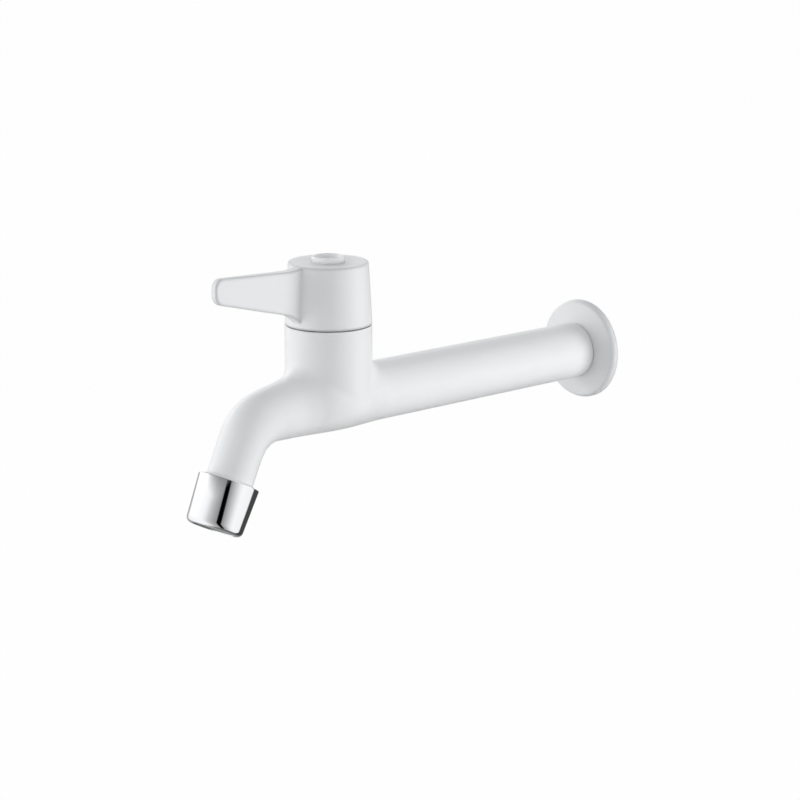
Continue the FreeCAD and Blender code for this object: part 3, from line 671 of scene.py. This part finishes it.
# The mouth has a chamfer and a lip, and behind the lip the inside is wider, up to the step.
pick(sleeve, "FACE", lambda place: place.z < hair - sleeve_length)
bpy.ops.mesh.inset(thickness=nose_radius - mouth_radius - mouth_chamfer)
bpy.ops.mesh.inset(thickness=mouth_chamfer, depth=-mouth_chamfer)
extrude_up(lip_height - mouth_chamfer)
bpy.ops.mesh.inset(thickness=hair)
bpy.ops.transform.resize(value=(inside_radius / mouth_radius, inside_radius / mouth_radius, 1))
extrude_up(inside_length)
bpy.ops.mesh.delete(type="ONLY_FACE")
pick(sleeve, "EDGE", lambda place: abs(place.z + rim_depth) < hair
     and hypot(place.x, place.y) < rim_radius + 10 * hair)
bpy.ops.mesh.bridge_edge_loops()
bpy.ops.mesh.select_all(action="SELECT")
bpy.ops.mesh.normals_make_consistent(inside=False)
bpy.ops.object.mode_set(mode="OBJECT")
in_fixed_order(sleeve)
along_spout(sleeve)
bpy.ops.object.shade_smooth_by_angle(angle=radians(35))
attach(sleeve, "tap")
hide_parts("nozzle_shell")

chrome, shader, tree = new_material("chrome")
shader.inputs["Base Color"].default_value = (0.93, 0.935, 0.94, 1)
shader.inputs["Metallic"].default_value = 1.0
haze = clouds(tree, place_on_piece(tree), 120.0, 4.0)
tree.links.new(spread(tree, haze, 0.03, 0.075), shader.inputs["Roughness"])
raise_skin(tree, shader, clouds(tree, place_on_piece(tree), 90.0, 2.0), 0.03, 0.3 * mm)
give(sleeve, chrome)

# The skin of the mouth, as far in as the lip goes, isn't polished.
dull_plating = worked_steel(
    "chrome_inside", (0.30, 0.31, 0.32), (0.20, 0.20, 0.21), 0.42, (1, 1, 1), 700.0)
sleeve.data.materials.append(dull_plating)
for face in sleeve.data.polygons:
    from_top = face.center - nozzle_top
    from_axis = from_top - spout_way * from_top.dot(spout_way)
    if from_axis.length < mouth_radius + 5 * hair:
        face.material_index = 1


# Jet regulator.
# A rubber ring, a moulded cup and a drilled jet disc are clamped in the nozzle.
# The cup and disc are hard pale plastic, a little greyed by lime where water leaves them.
seal_rubber = specked("seal_rubber", (0.036, 0.036, 0.039), (0.060, 0.060, 0.058), 800.0, 0.48, 0.04 * mm)
give(frame["nodes"]["nozzle_seal"], seal_rubber)
cup_plastic = specked("cup_plastic", (0.62, 0.63, 0.64), (0.52, 0.52, 0.50), 260.0, 0.40, 0.04 * mm)
give(frame["nodes"]["aerator_housing"], cup_plastic)
jet_plastic = specked("jet_plastic", (0.66, 0.68, 0.70), (0.58, 0.59, 0.60), 320.0, 0.38, 0.03 * mm)
give(frame["nodes"]["aerator_jet_disc"], jet_plastic)


# Aerator screens.
# Two discs of woven steel wire lie one on the other in the cup's mouth, turned by 45 degrees.
# Each wire passes over one neighbour and under the next, so it is crimped along its length.
screen_radius = 8.9 * mm
wire_radius = 0.115 * mm
wire_sides = 6
wire_gap = 1.0 * mm
wires_each_way = 8
crimp = 0.115 * mm
cuts_per_gap = 4
least_cuts = 6
lower_screen = (0, -17.8 * mm)
upper_screen = (pi / 4, -17.3 * mm)
woven = []
for screen_turn, screen_height in (lower_screen, upper_screen):
    for way in (0, 1):
        for row in range(-wires_each_way, wires_each_way + 1):
            half = sqrt(screen_radius ** 2 - (row * wire_gap) ** 2)
            bpy.ops.object.select_all(action="DESELECT")
            bpy.ops.mesh.primitive_cylinder_add(
                vertices=wire_sides, radius=wire_radius, depth=2 * half, rotation=(0, pi / 2, 0),
                location=(0, row * wire_gap, 0))
            wire = bpy.context.object
            bpy.ops.object.transform_apply(location=True, rotation=True, scale=True)
            bpy.ops.object.mode_set(mode="EDIT")
            pick_edges(wire, lambda one, two: abs(one.co.x - two.co.x) > half)
            cuts = max(least_cuts, round(2 * half / wire_gap * cuts_per_gap))
            bpy.ops.mesh.subdivide(number_cuts=cuts)
            bpy.ops.object.mode_set(mode="OBJECT")
            side = 1 if (row + way) % 2 else -1
            for corner in wire.data.vertices:
                corner.co.z += side * crimp * cos(pi * corner.co.x / wire_gap)
            wire.rotation_euler.z = way * pi / 2 + screen_turn
            wire.location.z = screen_height
            woven.append(wire)
bpy.ops.object.select_all(action="DESELECT")
for wire in woven:
    wire.select_set(True)
screens = woven[0]
bpy.context.view_layer.objects.active = screens
bpy.ops.object.transform_apply(location=True, rotation=True, scale=True)
bpy.ops.object.join()
screens.name = screens.data.name = "woven_screens"
along_spout(screens)
bpy.ops.object.shade_smooth_by_angle(angle=radians(40))
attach(screens, "tap")
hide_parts("aerator_screens")
screen_steel = worked_steel("screen_steel", (0.60, 0.61, 0.62), (0.46, 0.47, 0.49), 0.30, (1, 1, 1), 900.0)
give(screens, screen_steel)
